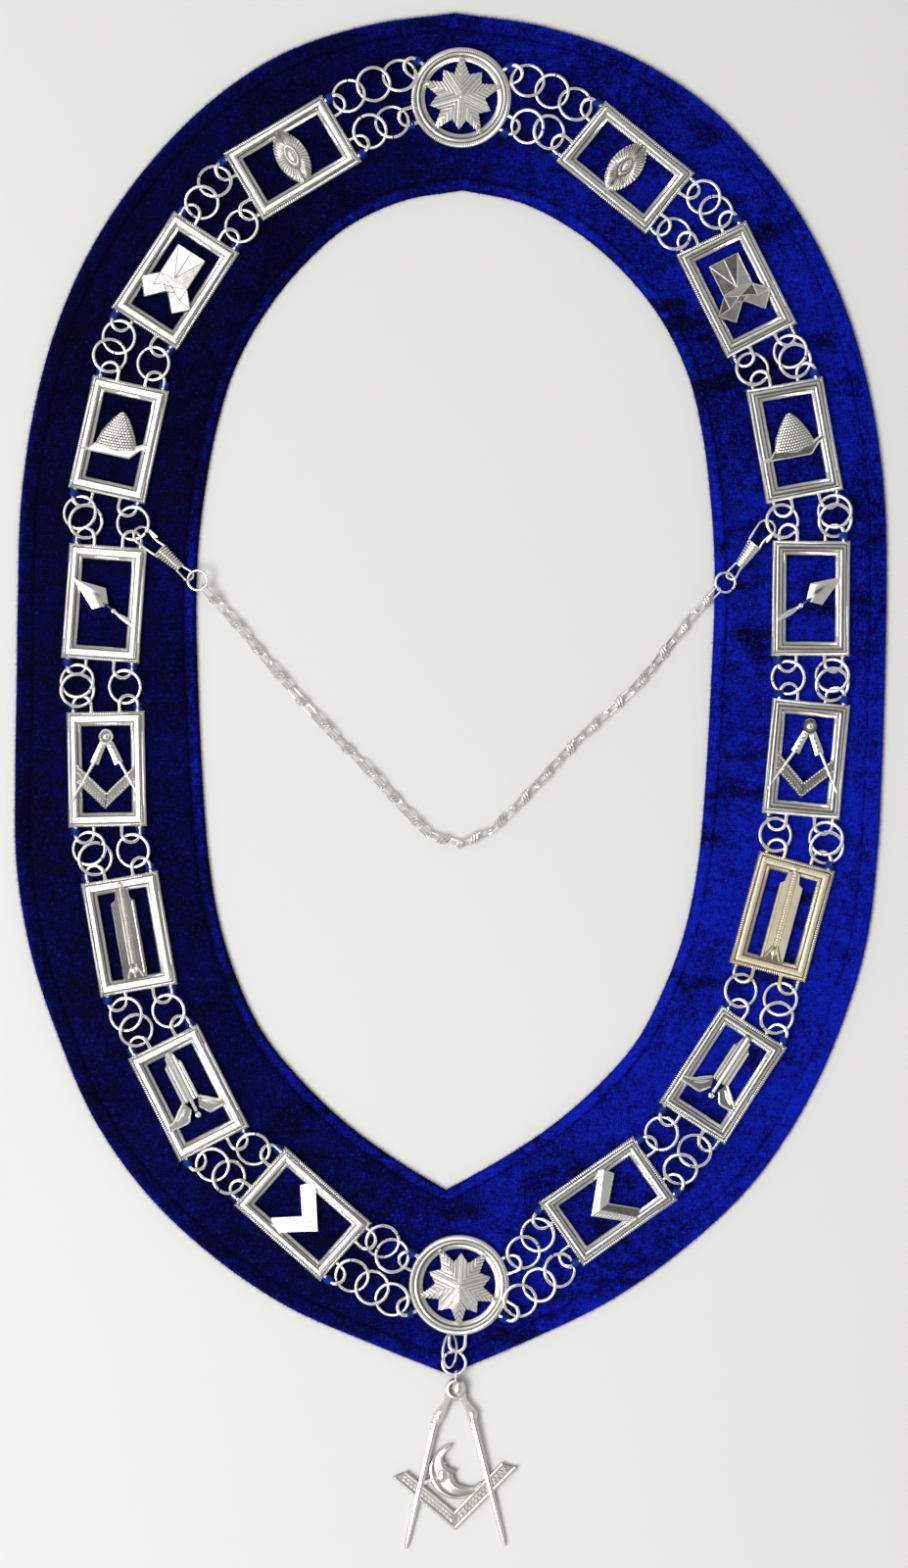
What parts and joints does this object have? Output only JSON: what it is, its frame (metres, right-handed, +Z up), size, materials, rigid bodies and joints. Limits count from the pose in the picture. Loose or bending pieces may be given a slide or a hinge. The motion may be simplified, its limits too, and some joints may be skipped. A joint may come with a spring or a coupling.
{
  "type": "regalia chain collar with hanging jewel",
  "caption": "Ceremonial collar: openwork plated plaques and medallions joined by jump rings on a padded blue velvet band, with a safety chain and a compass-and-square jewel",
  "frame": {"origin": "centre of the bounding box, on the surface that the collar lies on", "axes": "+Y runs from the jewel to the neck end, +Z is up from the surface, +X is to the right seen from above"},
  "size_m": [0.3653, 0.6436, 0.0162],
  "materials": {
    "velvet": "royal blue velvet pile",
    "plaque_plate": "bright nickel plated casting, lightly worn",
    "ring_plate": "bright plated wire",
    "jewel_plate": "worn plated casting",
    "chain_plate": "plated wire chain and hooks"
  },
  "bodies": {
    "root": {"velvet_backing": "velvet", "medallion_top": "plaque_plate", "medallion_bottom": "plaque_plate", "eye_left": "plaque_plate", "eye_right": "plaque_plate", "apron_left": "plaque_plate", "apron_right": "plaque_plate", "hive_left": "plaque_plate", "hive_right": "plaque_plate", "trowel_left": "plaque_plate", "trowel_right": "plaque_plate", "compasses_left": "plaque_plate", "compasses_right": "plaque_plate", "plumb_left": "plaque_plate", "plumb_right": "plaque_plate", "level_left": "plaque_plate", "level_right": "plaque_plate", "square_left": "plaque_plate", "square_right": "plaque_plate", "rings_top_eye_left_outer": "ring_plate", "rings_top_eye_left_inner": "ring_plate", "rings_top_eye_right_outer": "ring_plate", "rings_top_eye_right_inner": "ring_plate", "rings_eye_apron_left_outer": "ring_plate", "rings_eye_apron_left_inner": "ring_plate", "rings_eye_apron_right_outer": "ring_plate", "rings_eye_apron_right_inner": "ring_plate", "rings_apron_hive_left_outer": "ring_plate", "rings_apron_hive_left_inner": "ring_plate", "rings_apron_hive_right_outer": "ring_plate", "rings_apron_hive_right_inner": "ring_plate", "rings_hive_trowel_left_outer": "ring_plate", "rings_hive_trowel_left_inner": "ring_plate", "rings_hive_trowel_right_outer": "ring_plate", "rings_hive_trowel_right_inner": "ring_plate", "rings_trowel_compasses_left_outer": "ring_plate", "rings_trowel_compasses_left_inner": "ring_plate", "rings_trowel_compasses_right_outer": "ring_plate", "rings_trowel_compasses_right_inner": "ring_plate", "rings_compasses_plumb_left_outer": "ring_plate", "rings_compasses_plumb_left_inner": "ring_plate", "rings_compasses_plumb_right_outer": "ring_plate", "rings_compasses_plumb_right_inner": "ring_plate", "rings_plumb_level_left_outer": "ring_plate", "rings_plumb_level_left_inner": "ring_plate", "rings_plumb_level_right_outer": "ring_plate", "rings_plumb_level_right_inner": "ring_plate", "rings_level_square_left_outer": "ring_plate", "rings_level_square_left_inner": "ring_plate", "rings_level_square_right_outer": "ring_plate", "rings_level_square_right_inner": "ring_plate", "rings_square_bottom_left_outer": "ring_plate", "rings_square_bottom_left_inner": "ring_plate", "rings_square_bottom_right_outer": "ring_plate", "rings_square_bottom_right_inner": "ring_plate", "pendant_rings": "ring_plate", "jewel": "jewel_plate", "safety_chain": "chain_plate", "hook_left": "chain_plate", "hook_right": "chain_plate"}
  },
  "joints": []
}
